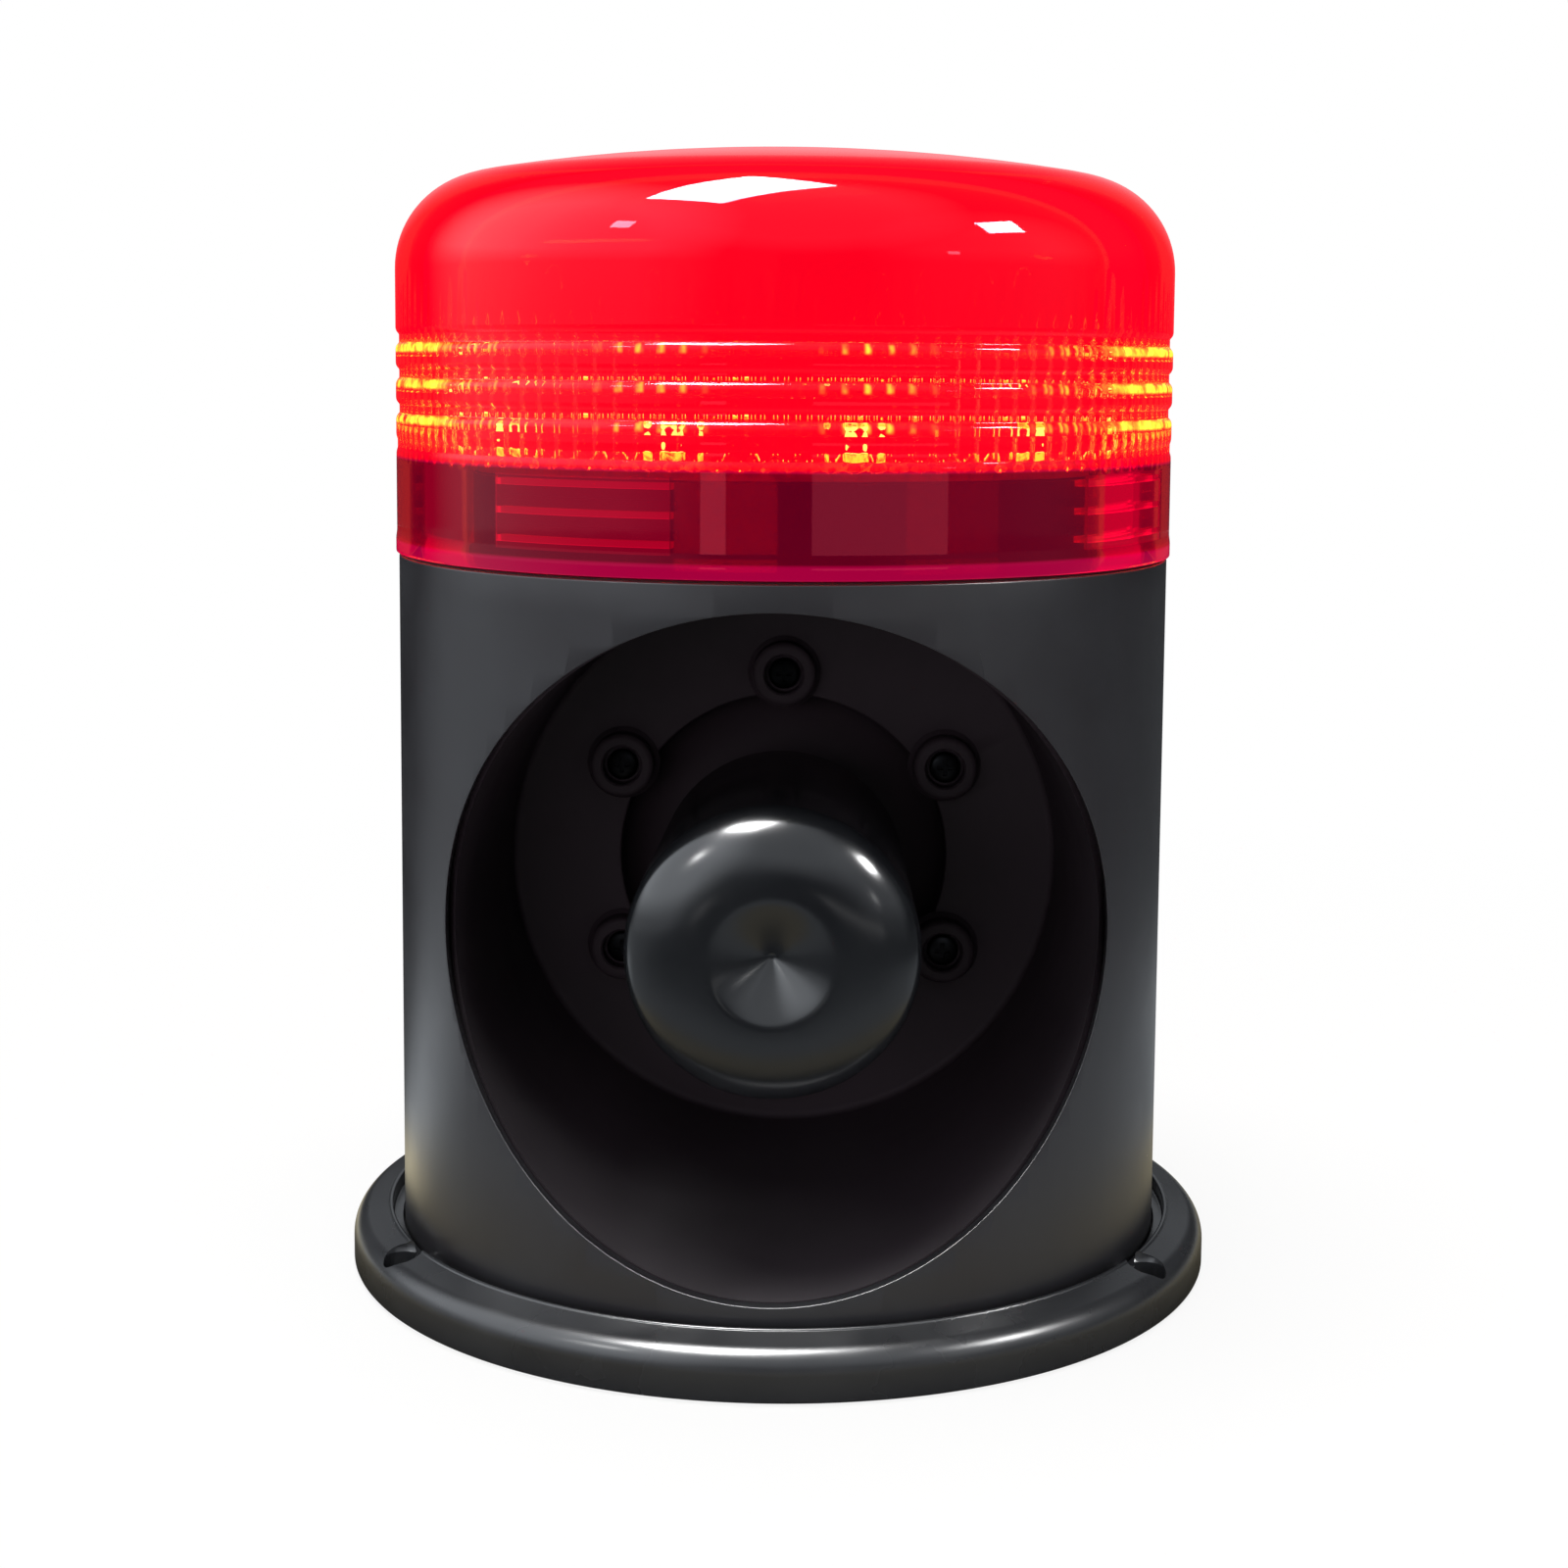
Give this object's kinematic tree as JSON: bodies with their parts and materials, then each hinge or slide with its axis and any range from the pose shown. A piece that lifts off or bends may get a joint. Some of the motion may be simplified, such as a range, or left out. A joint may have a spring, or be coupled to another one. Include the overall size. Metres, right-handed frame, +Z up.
{
  "type": "alarm siren",
  "caption": "Cylindrical alarm siren on a screw-down base flange, with a re-entrant horn in its front and a red ribbed beacon lens that twists on at the top.",
  "frame": {"origin": "middle of the base flange's underside", "axes": "+Z up along the housing's axis; the horn faces -Y"},
  "size_m": [0.18, 0.18, 0.23],
  "materials": {
    "black_abs": "satin moulded",
    "horn_abs": "satin moulded",
    "red_lens": "polished, clear",
    "rubber": "matt",
    "zinc_steel": "plated",
    "black_steel": "black plated",
    "brass": "turned",
    "ferrite": "matt",
    "board_green": "solder mask",
    "board_white": "solder mask",
    "led_resin": "clear resin, lit",
    "can_sleeve": "shrink sleeve",
    "aluminium": "extruded",
    "copper": "enamelled wire",
    "phenolic": "pressed film",
    "terminal_green": "moulded",
    "pot_blue": "moulded",
    "nylon": "moulded",
    "lead_red": "insulated wire",
    "lead_black": "insulated wire"
  },
  "bodies": {
    "housing": {"base_flange": "black_abs", "housing_shell": "black_abs", "cable_grommet": "rubber", "horn_bell": "horn_abs", "horn_throat": "horn_abs", "horn_bulb": "horn_abs", "driver_top_plate": "black_steel", "driver_magnet": "ferrite", "driver_yoke": "black_steel", "speaker_lead_red": "lead_red", "speaker_lead_black": "lead_black", "main_board": "board_green", "terminal_block": "terminal_green", "capacitor_1": "can_sleeve", "capacitor_2": "can_sleeve", "audio_transformer": "black_steel", "amplifier_heatsink": "aluminium", "volume_pot": "pot_blue", "led_board": "board_white", "lens_gasket": "rubber", "led_01": "led_resin", "led_02": "led_resin", "led_03": "led_resin", "led_04": "led_resin", "led_05": "led_resin", "led_06": "led_resin", "led_07": "led_resin", "led_08": "led_resin", "led_09": "led_resin", "led_10": "led_resin", "led_11": "led_resin", "led_12": "led_resin", "led_standoff_1": "brass", "led_board_screw_1": "zinc_steel", "led_standoff_2": "brass", "led_board_screw_2": "zinc_steel", "led_standoff_3": "brass", "led_board_screw_3": "zinc_steel", "main_board_screw_1": "zinc_steel", "main_board_screw_2": "zinc_steel", "base_screw_1": "zinc_steel", "bell_screw_1": "zinc_steel", "base_screw_2": "zinc_steel", "bell_screw_2": "zinc_steel", "base_screw_3": "zinc_steel", "bell_screw_3": "zinc_steel", "base_screw_4": "zinc_steel", "bell_screw_4": "zinc_steel", "horn_screw_1": "black_steel", "horn_screw_2": "black_steel", "horn_screw_3": "black_steel", "horn_screw_4": "black_steel", "horn_screw_5": "black_steel", "horn_screw_6": "black_steel"},
    "lens": {"lens_dome": "red_lens"},
    "cone": {"diaphragm": "phenolic", "voice_coil": "copper"},
    "knob": {"volume_knob": "nylon"}
  },
  "joints": [
    {"name": "lens_twist", "type": "hinge", "parent": "housing", "child": "lens", "pos_m": [0, 0, 0.1483], "axis": [0, 0, 1], "range_deg": [0, 40]},
    {"name": "volume_turn", "type": "hinge", "parent": "housing", "child": "knob", "pos_m": [0.019, 0.007, 0.1555], "axis": [0, 0, 1], "range_deg": [-135, 135]},
    {"name": "diaphragm_stroke", "type": "slide", "parent": "housing", "child": "cone", "axis": [0, -1, 0], "range_m": [-0.0004, 0.0004], "stiffness_N_per_m": 200}
  ]
}
